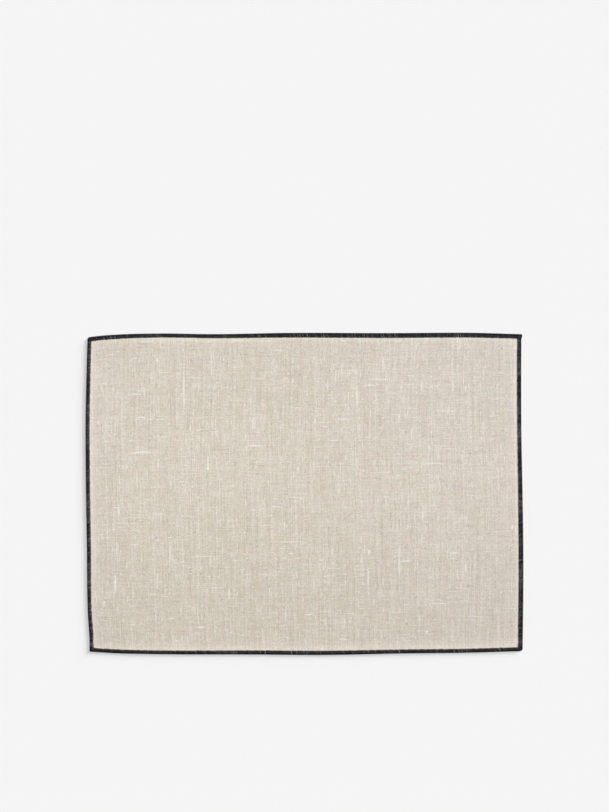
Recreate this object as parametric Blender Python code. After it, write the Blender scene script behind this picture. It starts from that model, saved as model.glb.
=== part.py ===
"""Flat linen placemat with an overlocked edge.

One woven panel lies flat. Four runs of overlock stitching, one along each side, are wrapped round
its cut edge: the two long runs go the full width, and the two short runs lie between them.

The origin is on the ground under the middle of the mat. +X runs along the long side, +Y along the
short side and +Z up. Sizes are written in millimetres times MM.
"""

from collections import namedtuple

import bmesh
import bpy
import numpy as np

MM = 0.001

# The linen, and how its edge rises from the ground into the stitching.
CLOTH_THICKNESS = 1.0 * MM
RISE_START = 5.2 * MM  # from the mat's outer line, where the cloth begins to sink to the ground
RISE_END = 17.0 * MM  # from the outer line, where it lies flat

# The stitching: two layers of thread, over and under the cloth, joined round its cut edge.
THREAD_WALL = 0.5 * MM
CLEARANCE = 0.3 * MM  # between pieces that touch in the real mat
NOSE_REACH = 1.1 * MM  # how far in from the outer line the rounded edge of a run goes
LIP_ROUNDING = 0.3 * MM  # the run's inner edge, where the thread lies down on the cloth
CROWN = 0.12 * MM  # how much higher a run is over its middle than over its inner edge
NOSE_STEPS = 6
NOSE_SHARE = 0.45  # of a run's width that its nose takes at most, where its end narrows
LIP_SHARE = 0.2  # the same for its inner edge
END_SQUEEZE = 0.45  # share of its height that a run loses at the tip of its end
END_SOFTENING = 0.5 * MM  # length over which it loses it

CLOTH_INSET = THREAD_WALL + CLEARANCE  # from the outer line to the cut edge of the cloth
EDGE_LIFT = THREAD_WALL + CLEARANCE  # of the cloth's underside, inside the stitching
SLOT_FLOOR = THREAD_WALL
SLOT_ROOF = EDGE_LIFT + CLOTH_THICKNESS + CLEARANCE
RUN_HEIGHT = SLOT_ROOF + THREAD_WALL

# The mat's outer line and the width of its stitching, side by side, in millimetres. A row gives a
# place along the side, counted along +X or +Y from the mat's middle, how far the outer line lies
# from the middle there, and how wide the stitching is. A smooth curve joins the rows.
Station = namedtuple("Station", "along out width")
SIDES = {
    "top": (
        Station(along=-236, out=169.9, width=4.7),
        Station(along=-222, out=171.6, width=4.7),
        Station(along=-196, out=173.3, width=4.5),
        Station(along=-160, out=174.1, width=4.1),
        Station(along=-100, out=173.4, width=4.1),
        Station(along=-20, out=174.7, width=4.8),
        Station(along=90, out=174.5, width=5.0),
        Station(along=190, out=174.7, width=4.9),
        Station(along=236, out=173.3, width=4.8),
    ),
    "bottom": (
        Station(along=-234, out=171.2, width=4.6),
        Station(along=-206, out=172.9, width=4.4),
        Station(along=-157, out=174.0, width=4.3),
        Station(along=-60, out=174.3, width=4.6),
        Station(along=26, out=174.8, width=4.8),
        Station(along=100, out=173.3, width=4.5),
        Station(along=185, out=172.2, width=4.5),
        Station(along=237, out=170.6, width=4.6),
    ),
    "left": (
        Station(along=-172, out=233.2, width=4.5),
        Station(along=-160, out=233.3, width=4.5),
        Station(along=-130, out=235.1, width=4.3),
        Station(along=-60, out=236.2, width=4.5),
        Station(along=20, out=237.4, width=4.6),
        Station(along=80, out=237.6, width=4.5),
        Station(along=130, out=236.6, width=4.4),
        Station(along=170, out=235.5, width=4.5),
    ),
    "right": (
        Station(along=-171, out=236.8, width=5.0),
        Station(along=-78, out=237.6, width=5.1),
        Station(along=0, out=236.7, width=4.7),
        Station(along=60, out=235.5, width=4.3),
        Station(along=130, out=235.2, width=4.4),
        Station(along=173, out=235.4, width=4.5),
    ),
}

# How each corner of the mat is rounded, seen from above, and how far the end of the long run there
# stands out past the short side, in millimetres.
Corner = namedtuple("Corner", "radius past")
CORNERS = {
    ("top", "left"): Corner(radius=2.4, past=0.0),
    ("top", "right"): Corner(radius=1.2, past=0.9),
    ("bottom", "left"): Corner(radius=1.0, past=0.2),
    ("bottom", "right"): Corner(radius=3.0, past=0.0),
}

# Where the meshes have their lines: close near the corners and over the rise, even between.
LONG_STEPS, SHORT_STEPS = 36, 28
RISE_STEPS = 5
CLOTH_EDGE_LINES = (
    CLOTH_INSET,
    2 * CLOTH_INSET,
    4 * CLOTH_INSET,
    *np.linspace(RISE_START, RISE_END, RISE_STEPS + 1),
)
ROUND_END_LINES = (0.0, 0.2 * MM, 0.5 * MM, 1.0 * MM, 1.7 * MM, 2.5 * MM, 3.7 * MM)  # in a slot
SHORTEST_SHARE = 0.01  # of a short run, between its end and the next of its lines

LINEN_COLOUR = (0.665, 0.610, 0.527, 1.0)
THREAD_COLOUR = (0.040, 0.040, 0.043, 1.0)

SHARP_ANGLE = np.radians(35)
ROUNDS = 6  # of working out two coordinates that depend on each other, until they agree


def clear_scene():
    for thing in list(bpy.data.objects):
        bpy.data.objects.remove(thing, do_unlink=True)


def through_rows(places, values):
    """A function of place along a side: the smooth curve through the rows. Each stretch is a cubic
    whose slope at a row is that of the parabola through the row and its neighbours."""
    slopes = np.gradient(values, places)

    def curve(at):
        at = np.asarray(at, float)
        k = np.clip(np.searchsorted(places, at) - 1, 0, len(places) - 2)
        step = places[k + 1] - places[k]
        t = (at - places[k]) / step
        start = (1 + 2 * t) * (1 - t) ** 2 * values[k] + t * (1 - t) ** 2 * step * slopes[k]
        end = t * t * (3 - 2 * t) * values[k + 1] + t * t * (t - 1) * step * slopes[k + 1]
        return start + end

    return curve


OUTWARD = {"top": 1, "bottom": -1, "left": -1, "right": 1}
LINE = {}  # the outer line of each side: its Y at an X, or its X at a Y
WIDTH = {}  # the width of the stitching along it
for side, rows in SIDES.items():
    table = np.array(rows) * MM
    LINE[side] = through_rows(table[:, 0], table[:, 1] * OUTWARD[side])
    WIDTH[side] = through_rows(table[:, 0], table[:, 2])


def corner_at(long_side, short_side):
    """Where the outer lines of a long and a short side cross."""
    x = LINE[short_side](0.0)
    for _ in range(ROUNDS):
        y = LINE[long_side](x)
        x = LINE[short_side](y)
    return float(x), float(y)


def arc_offset(distance, radius, inset):
    """How far a line that follows the outer line at this inset lies from the outer line, at this
    distance from the corner, where the corner is rounded to this radius."""
    reach = np.clip(radius - distance, 0, radius - inset)
    return radius - np.sqrt((radius - inset) ** 2 - reach**2)


def new_object(name, points, faces, material):
    """A mesh object of these points and faces, with points that coincide made one."""
    mesh = bpy.data.meshes.new(name)
    shape = bmesh.new()
    corners = [shape.verts.new(point) for point in points]
    for face in faces:
        shape.faces.new([corners[i] for i in face])
    bmesh.ops.remove_doubles(shape, verts=shape.verts, dist=0.0001 * MM)
    bmesh.ops.recalc_face_normals(shape, faces=shape.faces)
    shape.to_mesh(mesh)
    shape.free()
    mesh.shade_smooth()
    mesh.set_sharp_from_angle(angle=SHARP_ANGLE)
    mesh.materials.append(material)
    thing = bpy.data.objects.new(name, mesh)
    bpy.context.scene.collection.objects.link(thing)
    return thing


def new_material(name, colour, roughness):
    material = bpy.data.materials.new(name)
    material.use_nodes = True
    shader = material.node_tree.nodes["Principled BSDF"]
    shader.inputs["Base Color"].default_value = colour
    shader.inputs["Roughness"].default_value = roughness
    shader.inputs["Metallic"].default_value = 0.0
    return material


def between_sides(share_x, share_y, inset):
    """The point that divides the mat in these shares, from left to right and from bottom to top,
    between lines at this inset from the outer ones. Each coordinate depends a little on the other,
    because the sides aren't quite straight, so the two are worked out in turn until they agree."""
    x = (share_x - 0.5) * LINE["right"](0.0) * 2
    y = (share_y - 0.5) * LINE["top"](0.0) * 2
    for _ in range(ROUNDS):
        left, right = LINE["left"](y) + inset, LINE["right"](y) - inset
        x = left + share_x * (right - left)
        bottom, top = LINE["bottom"](x) + inset, LINE["top"](x) - inset
        y = bottom + share_y * (top - bottom)
    return x, y


def cloth_shares(length, steps):
    """Shares of the cloth at which its mesh has lines: close at both edges, even between."""
    edge = (np.array(CLOTH_EDGE_LINES) - CLOTH_INSET) / (length - 2 * CLOTH_INSET)
    middle = np.linspace(edge[-1], 1 - edge[-1], steps - 2)[1:-1]
    return np.concatenate([edge, middle, 1 - edge[::-1]])


def edge_distance(x, y):
    """Distances from a point in to the nearer short side and to the nearer long side."""
    from_short = np.minimum(x - LINE["left"](y), LINE["right"](y) - x)
    from_long = np.minimum(y - LINE["bottom"](x), LINE["top"](x) - y)
    return from_short, from_long


def sunk(distance):
    """0 inside the stitching, 1 where the cloth lies on the ground, a soft S between."""
    share = np.clip((distance - RISE_START) / (RISE_END - RISE_START), 0, 1)
    return share * share * (3 - 2 * share)


def round_cloth_corners(x, y):
    """Moves the grid's outermost points at each corner onto the cloth's rounded corner."""
    for (long_side, short_side), corner in CORNERS.items():
        radius = corner.radius * MM
        row = -1 if long_side == "top" else 0
        column = -1 if short_side == "right" else 0
        inward_x, inward_y = -OUTWARD[short_side], -OUTWARD[long_side]
        corner_x, corner_y = corner_at(long_side, short_side)
        along_x = (x[row] - corner_x) * inward_x
        y[row] += inward_y * (arc_offset(along_x, radius, CLOTH_INSET) - CLOTH_INSET)
        along_y = (y[:, column] - corner_y) * inward_y
        pulled = arc_offset(along_y, radius, CLOTH_INSET) - CLOTH_INSET
        pulled[row] = 0
        x[:, column] += inward_x * pulled
        tip = radius - (radius - CLOTH_INSET) * np.sqrt(0.5)
        x[row, column] = corner_x + inward_x * tip
        y[row, column] = corner_y + inward_y * tip


def linen_panel(material):
    """The cloth: a grid of points between its four cut edges, at its top and at its underside,
    joined round the edge. It lies on the ground and rises into the stitching along each side."""
    across = cloth_shares(2 * LINE["right"](0.0), LONG_STEPS)
    up = cloth_shares(2 * LINE["top"](0.0), SHORT_STEPS)
    x, y = between_sides(*np.meshgrid(across, up), CLOTH_INSET)
    from_short, from_long = edge_distance(x, y)
    underside = EDGE_LIFT * (1 - sunk(from_short) * sunk(from_long))
    round_cloth_corners(x, y)
    under = np.stack([x, y, underside], axis=-1)
    over = np.stack([x, y, underside + CLOTH_THICKNESS], axis=-1)

    rows, columns = x.shape
    number = np.arange(rows * columns).reshape(rows, columns)
    cells = np.stack(
        [number[:-1, :-1], number[:-1, 1:], number[1:, 1:], number[1:, :-1]], axis=-1
    ).reshape(-1, 4)
    rim = np.concatenate([number[0, :-1], number[:-1, -1], number[-1, :0:-1], number[:0:-1, 0]])
    onward = np.roll(rim, -1)
    above = rows * columns
    walls = np.stack([rim, onward, onward + above, rim + above], axis=-1)
    faces = np.concatenate([cells[:, ::-1], cells + above, walls])
    points = np.concatenate([under.reshape(-1, 3), over.reshape(-1, 3)])
    return new_object("linen_panel", points.tolist(), faces.tolist(), material)


def run_section(outer, slot, width, height_share):
    """A run's section as (distance in from the outer line, height) points, in a closed loop: from
    the mouth's lower lip under the cloth, round the nose and back over the cloth, then into the
    slot that holds the cloth. With the slot's depth at the mouth, there is no slot."""
    nose = min(NOSE_REACH, NOSE_SHARE * (width - outer))
    lip = min(LIP_ROUNDING, LIP_SHARE * (width - outer))
    turn = np.linspace(-np.pi / 2, np.pi / 2, NOSE_STEPS + 1)
    round_nose = np.stack(
        [outer + nose * (1 - np.cos(turn)), RUN_HEIGHT / 2 * (1 + np.sin(turn))], axis=-1
    )
    middle = (outer + nose + width) / 2
    loop = np.concatenate(
        [
            [[width, SLOT_FLOOR], [width, SLOT_FLOOR / 2], [width - lip, 0]],
            round_nose,
            [[middle, RUN_HEIGHT + CROWN], [width - lip, RUN_HEIGHT - lip / 2]],
            [[width, RUN_HEIGHT - lip], [width, SLOT_ROOF], [slot, SLOT_ROOF], [slot, SLOT_FLOOR]],
        ]
    )
    loop[:, 1] = RUN_HEIGHT / 2 + (loop[:, 1] - RUN_HEIGHT / 2) * height_share
    return loop


def joined_sections(name, sections, material):
    """A solid through closed loops of points, one after another, with both ends filled."""
    stations, loop, _ = sections.shape
    number = np.arange(stations * loop).reshape(stations, loop)
    beside = np.roll(number, -1, axis=1)
    skin = np.stack([number[:-1], beside[:-1], beside[1:], number[1:]], axis=-1).reshape(-1, 4)
    faces = skin.tolist() + [number[0, ::-1].tolist(), number[-1].tolist()]
    return new_object(name, sections.reshape(-1, 3).tolist(), faces, material)


def cloth_lines_along(side):
    """Places along a side where the lines of the cloth's mesh meet its cut edge there."""
    if side in ("top", "bottom"):
        shares = cloth_shares(2 * LINE["right"](0.0), LONG_STEPS)
        return between_sides(shares, 1.0 if side == "top" else 0.0, CLOTH_INSET)[0]
    shares = cloth_shares(2 * LINE["top"](0.0), SHORT_STEPS)
    return between_sides(1.0 if side == "right" else 0.0, shares, CLOTH_INSET)[1]


def long_run(side, material):
    """A full-width run. Its slot stops short of both ends, which close round the cloth's corners.
    Seen from above, its outer line follows the rounding of each corner, and each section leans as
    the short sides do, a share of each."""
    left_x, _ = corner_at(side, "left")
    right_x, _ = corner_at(side, "right")
    left_end, right_end = CORNERS[side, "left"], CORNERS[side, "right"]
    left_past, right_past = left_end.past * MM, right_end.past * MM
    in_slot = THREAD_WALL + np.array(ROUND_END_LINES)
    tips = np.array([0.0, 0.5])  # shares of the closed end where it has lines
    lines = cloth_lines_along(side)
    clear_of_corners = (lines > left_x + RISE_START) & (lines < right_x - RISE_START)
    # The place where the slot begins comes twice: once in the closed end and once in the slot.
    places = np.concatenate(
        [
            left_x - left_past + tips * (left_past + THREAD_WALL),
            [left_x + THREAD_WALL],
            left_x + in_slot,
            lines[clear_of_corners],
            right_x - in_slot[::-1],
            [right_x - THREAD_WALL],
            right_x + right_past - tips[::-1] * (right_past + THREAD_WALL),
        ]
    )
    closed = len(tips) + 1
    sections = []
    for i, x in enumerate(places):
        outer = slot = 0.0
        for distance, corner in ((x - left_x, left_end), (right_x - x, right_end)):
            radius = corner.radius * MM
            outer = max(outer, float(arc_offset(distance + corner.past * MM, radius, 0.0)))
            slot = max(slot, float(arc_offset(distance, radius, THREAD_WALL)))
        width = float(WIDTH[side](x))
        if i < closed or i >= len(places) - closed:
            slot = width
        to_tip = min(x - places[0], places[-1] - x)
        softening = max(1 - to_tip / END_SOFTENING, 0.0)
        loop = run_section(outer, slot, width, 1 - END_SQUEEZE * softening**2)
        loop_y = LINE[side](x) - OUTWARD[side] * loop[:, 0]
        share = (x - left_x) / (right_x - left_x)
        lean_left, lean_right = LINE["left"](loop_y) - left_x, LINE["right"](loop_y) - right_x
        loop_x = x + (1 - share) * lean_left + share * lean_right
        sections.append(np.stack([loop_x, loop_y, loop[:, 1]], axis=-1))
    return joined_sections(f"edging_{side}", np.array(sections), material)


def inner_edge(side, along):
    """Where the stitching along a side ends on the cloth, and the gap after it."""
    return LINE[side](along) - OUTWARD[side] * (WIDTH[side](along) + CLEARANCE)


def short_run(side, material):
    """A run between the two long ones. Both its ends follow their inner edges, and its slot is open
    there, because the cloth goes on into the long runs."""
    lines = cloth_lines_along(side)
    x = LINE[side](lines)
    shares = (lines - inner_edge("bottom", x)) / (inner_edge("top", x) - inner_edge("bottom", x))
    between_ends = shares[(shares > SHORTEST_SHARE) & (shares < 1 - SHORTEST_SHARE)]
    sections = []
    for share in [0.0, *between_ends, 1.0]:
        y = (share - 0.5) * LINE["top"](0.0) * 2
        for _ in range(ROUNDS):
            loop = run_section(0.0, THREAD_WALL, float(WIDTH[side](np.mean(y))), 1.0)
            x = LINE[side](y) - OUTWARD[side] * loop[:, 0]
            low, high = inner_edge("bottom", x), inner_edge("top", x)
            y = low + share * (high - low)
        sections.append(np.stack([x, y, loop[:, 1]], axis=-1))
    return joined_sections(f"edging_{side}", np.array(sections), material)


clear_scene()
linen = new_material("linen", LINEN_COLOUR, roughness=0.9)
thread = new_material("edging_thread", THREAD_COLOUR, roughness=0.75)
linen_panel(linen)
for side in ("top", "bottom"):
    long_run(side, thread)
for side in ("left", "right"):
    short_run(side, thread)
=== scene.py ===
"""Looks of a flat linen placemat with a charcoal overlocked edge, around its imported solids."""

import bpy
import numpy as np
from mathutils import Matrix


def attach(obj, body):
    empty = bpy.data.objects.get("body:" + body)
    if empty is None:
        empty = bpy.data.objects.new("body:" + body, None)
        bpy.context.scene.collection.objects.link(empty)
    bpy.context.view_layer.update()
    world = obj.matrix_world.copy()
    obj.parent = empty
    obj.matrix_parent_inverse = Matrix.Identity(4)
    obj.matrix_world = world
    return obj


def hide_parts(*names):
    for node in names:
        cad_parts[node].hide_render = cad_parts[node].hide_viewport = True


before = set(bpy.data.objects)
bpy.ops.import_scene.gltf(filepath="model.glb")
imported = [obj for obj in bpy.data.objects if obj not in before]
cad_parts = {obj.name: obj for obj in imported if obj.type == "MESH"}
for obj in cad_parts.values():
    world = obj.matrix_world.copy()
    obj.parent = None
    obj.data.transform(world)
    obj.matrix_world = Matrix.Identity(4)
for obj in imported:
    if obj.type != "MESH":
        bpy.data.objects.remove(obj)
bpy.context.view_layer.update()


# ==== The ground, the lamps and the camera =======================================================
# The mat lies on a plain pale ground. A wide soft lamp hangs straight over it and a second one
# stands off at its far right corner, so thin soft shadows fall at its near and its left side.

MM = 0.001  # lengths are in metres
WHITE = (1.0, 1.0, 1.0, 1.0)
scene = bpy.context.scene

GROUND_REACH = 6.0  # from the middle to each side
GROUND_DROP = 0.02 * MM  # under the cloth, so that the two faces never share a plane
GROUND_COLOUR = (0.936, 0.935, 0.935, 1.0)
ROOM_COLOUR = (0.913, 0.913, 0.913, 1.0)  # what is seen past the ground
ROOM_LIGHT = 0.040  # radiance that reaches the mat from all round

OVERHEAD_LIGHT = 1.86
OVERHEAD_ANGLE = np.radians(28)  # how wide the lamp looks from the mat
SIDE_LIGHT = 3.10
SIDE_LAMP_ANGLE = np.radians(32)
SIDE_LAMP_HEIGHT = np.radians(20.5)  # over the horizon
SIDE_LAMP_TURN = np.radians(35)  # from +X towards +Y

CAMERA_HEIGHT = 2.082
CAMERA_FORWARD = 0.0954  # the mat lies below the middle of the picture
CAMERA_LENS = 85.0


def add_to_scene(name, data):
    """A new object for this data, linked to the scene."""
    thing = bpy.data.objects.new(name, data)
    scene.collection.objects.link(thing)
    return thing


def add_lamp(name, strength, width, tilt, turn):
    """A far lamp whose light comes from `tilt` off straight above, on the side `turn` from +X."""
    light = bpy.data.lights.new(name, "SUN")
    light.energy = strength
    light.angle = width
    lamp = add_to_scene(name, light)
    lamp.rotation_euler = (0.0, tilt, turn)
    return lamp


def shader_step(kind, sockets, tree=None, output=0, **settings):
    """Adds a shader node of this kind, with these settings, to the tree of what is linked to it or to
    the one given. Each named or numbered socket takes a value or a link. Returns the output that
    has this number."""
    linked = [value for value in sockets.values() if isinstance(value, bpy.types.NodeSocket)]
    tree = tree or linked[0].id_data
    step = tree.nodes.new("ShaderNode" + kind)
    for name, value in settings.items():
        setattr(step, name, value)
    for place, value in sockets.items():
        if value in linked:
            tree.links.new(value, step.inputs[place])
        else:
            step.inputs[place].default_value = value
    return step.outputs[output]


camera = add_to_scene("camera", bpy.data.cameras.new("camera"))
camera.location = (0.0, CAMERA_FORWARD, CAMERA_HEIGHT)
camera.data.lens = CAMERA_LENS
scene.camera = camera
scene.view_settings.view_transform = "Standard"

add_lamp("overhead_lamp", OVERHEAD_LIGHT, OVERHEAD_ANGLE, 0.0, 0.0)
add_lamp("side_lamp", SIDE_LIGHT, SIDE_LAMP_ANGLE, np.pi / 2 - SIDE_LAMP_HEIGHT, SIDE_LAMP_TURN)

room = bpy.data.worlds.new("room")
room.use_nodes = True
scene.world = room
air = room.node_tree
lit_by = air.nodes["Background"]
lit_by.inputs["Color"].default_value = WHITE
lit_by.inputs["Strength"].default_value = ROOM_LIGHT
seen_as = shader_step("Background", {"Color": ROOM_COLOUR}, air)
is_camera_ray = shader_step("LightPath", {}, air)
either = shader_step("MixShader", {0: is_camera_ray, 1: lit_by.outputs[0], 2: seen_as})
air.links.new(either, air.nodes["World Output"].inputs[0])

ground_corners = [
    (sx * GROUND_REACH, sy * GROUND_REACH, -GROUND_DROP)
    for sx, sy in ((-1, -1), (1, -1), (1, 1), (-1, 1))
]
ground_mesh = bpy.data.meshes.new("ground")
ground_mesh.from_pydata(ground_corners, [], [(0, 1, 2, 3)])
ground_paper = bpy.data.materials.new("ground_paper")
ground_paper.use_nodes = True
paper_shader = ground_paper.node_tree.nodes["Principled BSDF"]
paper_shader.inputs["Base Color"].default_value = GROUND_COLOUR
paper_shader.inputs["Roughness"].default_value = 1.0
paper_shader.inputs["Specular IOR Level"].default_value = 0.0
ground_mesh.materials.append(ground_paper)
add_to_scene("ground", ground_mesh)


# ==== The linen cloth ============================================================================
# One piece of plain woven natural linen, cut to size, with uneven slubbed yarns both ways. Its cut
# edge is caught inside the stitching, from where it sinks to the ground, with faint puckers.

CLOTH_THICKNESS = 0.9 * MM
CLOTH_LIFT = 0.85 * MM  # of its underside, inside the stitching
CUT_INSET = 0.5 * MM  # from the mat's outer line to the cut edge
SINK_START = 4.6 * MM  # from the outer line, where the cloth leaves the stitching
SINK_END = 42.0 * MM  # where it lies on the ground

LINE_STEP_AT_EDGE = 1.4 * MM  # between the lines of its mesh
LINE_STEP_IN_MIDDLE = 2.15 * MM
EDGE_ZONE = 24.0 * MM

PUCKER_HEIGHT = 0.17 * MM
PUCKER_REACH = 26.0 * MM
PUCKER_LENGTHS = (8.7 * MM, 13.1 * MM, 19.7 * MM, 31.0 * MM)
PUCKER_LEAN = 0.35  # how far a pucker drifts along its side for each step inwards
PUCKER_SEEDS = (11, 12)  # beside the long and beside the short sides
SWELL_HEIGHT = 0.12 * MM  # of the cloth's slow unevenness all over
SWELL_LENGTHS = (38.0 * MM, 57.0 * MM, 83.0 * MM, 121.0 * MM)
SWELL_END = 34.0 * MM  # from the outer line, inside which the swells have their full height
SWELL_LEANS = (0.4, -0.5)  # how far off the yarns the two sets of swells run
SWELL_SEEDS = (13, 14)

WARP_PITCH = 0.70 * MM  # yarns that run along Y
WEFT_PITCH = 0.74 * MM  # yarns that run along X
WARP_COUNT = 678
WEFT_COUNT = 472

# Each cut corner's radius, and how far the end of the long run's stitching stands out past the
# short side there.
CORNERS = {
    ("top", "left"): (2.4 * MM, 0.0),
    ("top", "right"): (1.2 * MM, 0.9 * MM),
    ("bottom", "left"): (1.0 * MM, 0.2 * MM),
    ("bottom", "right"): (3.0 * MM, 0.0),
}
OUTWARD = {"top": 1, "bottom": -1, "left": -1, "right": 1}
NOSE_HEIGHT = 1.3 * MM  # of the outermost points of each run's solid
LOWER_LIP_HEIGHT = 0.25 * MM  # of the points at its inner edge
CORNER_CLEAR = 4.0 * MM  # a long run's solid is rounded within this of its ends
SAME_HEIGHT = 0.02 * MM  # points this close in height are on one line
PLACES_APART = 0.3 * MM  # at least, between the rows of a smooth line
ROUNDS = 6  # of a search that closes in on a point


def smooth_line(places, values):
    """The smooth curve through these rows: a cubic between neighbours whose slope at a row is that
    of the parabola through it and the next ones. It goes on straight past the last rows."""
    slopes = np.gradient(values, places)

    def curve(at):
        at = np.asarray(at, float)
        inside = np.clip(at, places[0], places[-1])
        k = np.clip(np.searchsorted(places, inside) - 1, 0, len(places) - 2)
        step = places[k + 1] - places[k]
        t = (inside - places[k]) / step
        start = (1 + 2 * t) * (1 - t) ** 2 * values[k] + t * (1 - t) ** 2 * step * slopes[k]
        end = t * t * (3 - 2 * t) * values[k + 1] + t * t * (t - 1) * step * slopes[k + 1]
        beyond = np.where(at < places[0], slopes[0], slopes[-1]) * (at - inside)
        return start + end + beyond

    return curve


def line_at_height(side, height):
    """The line of a run's solid at this height, its outer points where it has two, as a curve of
    place along the side."""
    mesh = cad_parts[f"edging_{side}"].data
    points = np.empty(len(mesh.vertices) * 3, np.float32)
    mesh.vertices.foreach_get("co", points)
    points = points.reshape(-1, 3).astype(float)
    along_axis, out_axis = (0, 1) if side in ("top", "bottom") else (1, 0)
    points = points[np.abs(points[:, 2] - height) < SAME_HEIGHT]
    along = np.round(points[:, along_axis], 5)
    out = points[:, out_axis] * OUTWARD[side]
    if side in ("top", "bottom"):
        clear = (along > along.min() + CORNER_CLEAR) & (along < along.max() - CORNER_CLEAR)
        along, out = along[clear], out[clear]
    places, group = np.unique(along, return_inverse=True)
    furthest = np.full(len(places), -np.inf)
    np.maximum.at(furthest, group, out)
    apart = np.concatenate([[True], np.diff(places) > PLACES_APART])
    return smooth_line(places[apart], furthest[apart] * OUTWARD[side])


OUTER = {side: line_at_height(side, NOSE_HEIGHT) for side in OUTWARD}
INNER = {side: line_at_height(side, LOWER_LIP_HEIGHT) for side in OUTWARD}


def crossing(long_line, short_line, x):
    """Where a line along a long side crosses a line along a short side, starting near this X."""
    for _ in range(ROUNDS):
        y = long_line(x)
        x = short_line(y)
    return float(x), float(y)


CORNER_AT = {
    (long_side, short_side): crossing(OUTER[long_side], OUTER[short_side], OUTER[short_side](0.0))
    for long_side, short_side in CORNERS
}


def soft_step(value, start, end):
    """0 before start, 1 after end, a soft S between."""
    share = np.clip((value - start) / (end - start), 0, 1)
    return share * share * (3 - 2 * share)


def waves(place, lengths, seed):
    """The mean of sines of these wavelengths, each with a chance phase: from -1 to 1."""
    phases = np.random.default_rng(seed).uniform(0, 2 * np.pi, len(lengths))
    lengths = np.asarray(lengths)
    return np.sin(2 * np.pi * place[..., None] / lengths + phases).mean(axis=-1)


def underside_of_cloth(x, y):
    """Height of the cloth's underside at a point: raised inside the stitching, on the ground in the
    middle. Puckers stand beside each run and fade inwards, and slow swells cover the whole."""
    from_short = np.minimum(x - OUTER["left"](y), OUTER["right"](y) - x)
    from_long = np.minimum(y - OUTER["bottom"](x), OUTER["top"](x) - y)
    sunk = soft_step(from_short, SINK_START, SINK_END) * soft_step(from_long, SINK_START, SINK_END)
    height = CLOTH_LIFT * (1 - sunk)
    for gap, place, seed in zip((from_long, from_short), (x, y), PUCKER_SEEDS):
        near = soft_step(gap, SINK_START, 2 * SINK_START) * (1 - soft_step(gap, 0, PUCKER_REACH))
        drift = place + PUCKER_LEAN * gap
        height += PUCKER_HEIGHT * near * (1 + waves(drift, PUCKER_LENGTHS, seed))
    swell = waves(x + SWELL_LEANS[0] * y, SWELL_LENGTHS, SWELL_SEEDS[0])
    swell = swell + waves(y + SWELL_LEANS[1] * x, SWELL_LENGTHS, SWELL_SEEDS[1])
    inside = soft_step(np.minimum(from_short, from_long), SINK_START, SWELL_END)
    return height + SWELL_HEIGHT * inside * (1 + swell / 2)


def cloth_shares(length):
    """Shares of the cloth where its mesh has lines: close beside the edges, wider between."""
    edge = np.arange(0, EDGE_ZONE, LINE_STEP_AT_EDGE) / length
    steps = round((1 - 2 * edge[-1]) * length / LINE_STEP_IN_MIDDLE)
    middle = np.linspace(edge[-1], 1 - edge[-1], steps + 1)[1:-1]
    return np.concatenate([edge, middle, 1 - edge[::-1]])


def between_sides(share_x, share_y, inset):
    """The point that divides the mat in these shares, left to right and bottom to top, between
    lines at this inset from the outer ones."""
    x = (share_x - 0.5) * 2 * OUTER["right"](0.0)
    y = (share_y - 0.5) * 2 * OUTER["top"](0.0)
    for _ in range(ROUNDS):
        left, right = OUTER["left"](y) + inset, OUTER["right"](y) - inset
        x = left + share_x * (right - left)
        bottom, top = OUTER["bottom"](x) + inset, OUTER["top"](x) - inset
        y = bottom + share_y * (top - bottom)
    return x, y


def inside_round_corners(x, y, inset):
    """Draws points that stand past a rounded corner back onto its arc, at this inset."""
    for (long_side, short_side), (radius, _) in CORNERS.items():
        corner_x, corner_y = CORNER_AT[long_side, short_side]
        centre_x = corner_x - OUTWARD[short_side] * radius
        centre_y = corner_y - OUTWARD[long_side] * radius
        off_x = (x - centre_x) * OUTWARD[short_side]
        off_y = (y - centre_y) * OUTWARD[long_side]
        far = np.hypot(off_x, off_y)
        past = (off_x > 0) & (off_y > 0) & (far > radius - inset)
        pull = np.where(past, (radius - inset) / np.maximum(far, 1e-9), 1.0)
        x = np.where(past, centre_x + OUTWARD[short_side] * off_x * pull, x)
        y = np.where(past, centre_y + OUTWARD[long_side] * off_y * pull, y)
    return x, y


def new_piece(name, points, faces, maps, material):
    """A new smooth piece of these points. `faces` is a list of index arrays, one row a face, and
    `maps` gives, for each UV map's name, a list of arrays of the same rows with a (u, v) a corner."""
    mesh = bpy.data.meshes.new(name)
    mesh.vertices.add(len(points))
    mesh.vertices.foreach_set("co", points.astype(np.float32).ravel())
    corners = np.concatenate([rows.ravel() for rows in faces])
    sizes = np.concatenate([np.full(len(rows), rows.shape[1]) for rows in faces])
    mesh.loops.add(len(corners))
    mesh.loops.foreach_set("vertex_index", corners.astype(np.int32))
    mesh.polygons.add(len(sizes))
    mesh.polygons.foreach_set("loop_start", (np.cumsum(sizes) - sizes).astype(np.int32))
    mesh.update(calc_edges=True)
    for map_name, rows in maps.items():
        layer = mesh.uv_layers.new(name=map_name)
        flat = np.concatenate([row.reshape(-1, 2) for row in rows])
        layer.data.foreach_set("uv", flat.astype(np.float32).ravel())
    mesh.shade_smooth()
    mesh.materials.append(material)
    mesh.validate()
    return add_to_scene(name, mesh)


def worked(operation, *values):
    """One step of arithmetic on numbers and sockets."""
    return shader_step("Math", dict(enumerate(values)), operation=operation)


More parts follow.
